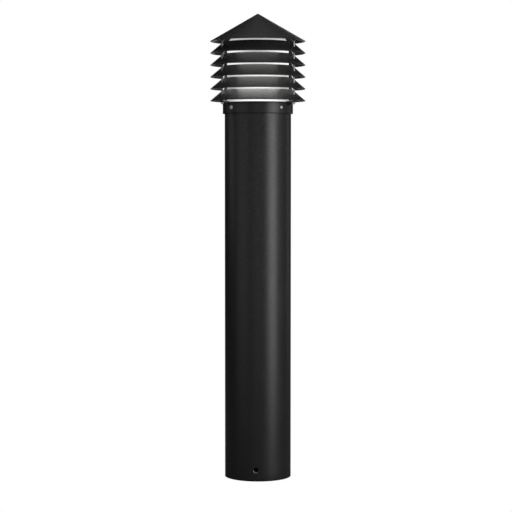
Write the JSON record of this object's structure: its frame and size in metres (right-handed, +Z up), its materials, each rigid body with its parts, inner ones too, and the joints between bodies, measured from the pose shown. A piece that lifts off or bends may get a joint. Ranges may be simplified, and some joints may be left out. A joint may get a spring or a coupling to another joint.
{
  "type": "bollard light",
  "caption": "Round black bollard light: a plain post with a lift-off lamp head of stacked conical louvres under a pointed cap.",
  "frame": {"origin": "centre of the foot, on the ground", "axes": "+Z up the post, -Y towards the front set screw of the foot"},
  "size_m": [0.218, 0.218, 1.0668],
  "materials": {
    "powder_coat": "matt to satin black powder coat on aluminium",
    "cast_aluminium": "as cast, sand-blasted",
    "stainless": "bare stainless, satin",
    "black_oxide": "black oxide",
    "frosted_lens": "frosted acrylic, lit from inside",
    "seal_rubber": "moulded silicone seal",
    "circuit_board": "white solder mask",
    "led_phosphor": "yellow phosphor under a clear dome",
    "white_reflector": "matt white paint",
    "zinc_steel": "zinc plated sheet",
    "driver_case": "moulded light grey",
    "terminal_plastic": "moulded ivory",
    "green_screw": "green dyed",
    "lead_jacket": "black flexible jacket"
  },
  "bodies": {
    "post": {"post_tube": "powder_coat", "anchor_base": "cast_aluminium", "base_screw_1": "black_oxide", "base_screw_2": "black_oxide", "base_screw_3": "black_oxide"},
    "head": {"fitter_collar": "powder_coat", "cap": "powder_coat", "louvre_1": "powder_coat", "louvre_2": "powder_coat", "louvre_3": "powder_coat", "louvre_4": "powder_coat", "louvre_5": "powder_coat", "tie_rod_1": "stainless", "tie_rod_2": "stainless", "tie_rod_3": "stainless", "tie_rod_nut_1": "stainless", "tie_rod_nut_2": "stainless", "tie_rod_nut_3": "stainless", "spacer_1_1": "stainless", "spacer_1_2": "stainless", "spacer_1_3": "stainless", "spacer_1_4": "stainless", "spacer_1_5": "stainless", "spacer_2_1": "stainless", "spacer_2_2": "stainless", "spacer_2_3": "stainless", "spacer_2_4": "stainless", "spacer_2_5": "stainless", "spacer_3_1": "stainless", "spacer_3_2": "stainless", "spacer_3_3": "stainless", "spacer_3_4": "stainless", "spacer_3_5": "stainless", "board_screw_1": "stainless", "board_screw_2": "stainless", "tray_screw_1": "stainless", "tray_screw_2": "stainless", "driver_screw_1": "stainless", "driver_screw_2": "stainless", "lens": "frosted_lens", "lens_gasket": "seal_rubber", "crown_gasket": "seal_rubber", "led_board": "circuit_board", "led_1": "led_phosphor", "led_2": "led_phosphor", "led_3": "led_phosphor", "led_4": "led_phosphor", "led_5": "led_phosphor", "led_6": "led_phosphor", "top_reflector": "white_reflector", "driver_tray": "zinc_steel", "led_driver": "driver_case", "terminal_block": "terminal_plastic", "ground_screw": "green_screw", "lamp_lead": "lead_jacket", "driver_lead": "lead_jacket"},
    "collar_screw_1": {"collar_screw_1": "stainless"},
    "collar_screw_2": {"collar_screw_2": "stainless"},
    "collar_screw_3": {"collar_screw_3": "stainless"},
    "collar_screw_4": {"collar_screw_4": "stainless"}
  },
  "joints": [
    {"name": "head_lift", "type": "slide", "parent": "post", "child": "head", "axis": [0, 0, 1], "range_m": [0, 0.3]},
    {"name": "collar_screw_1_back_out", "type": "slide", "parent": "head", "child": "collar_screw_1", "axis": [-0.7071, -0.7071, 0], "range_m": [0, 0.004]},
    {"name": "collar_screw_2_back_out", "type": "slide", "parent": "head", "child": "collar_screw_2", "axis": [0.7071, -0.7071, 0], "range_m": [0, 0.004]},
    {"name": "collar_screw_3_back_out", "type": "slide", "parent": "head", "child": "collar_screw_3", "axis": [0.7071, 0.7071, 0], "range_m": [0, 0.004]},
    {"name": "collar_screw_4_back_out", "type": "slide", "parent": "head", "child": "collar_screw_4", "axis": [-0.7071, 0.7071, 0], "range_m": [0, 0.004]}
  ]
}
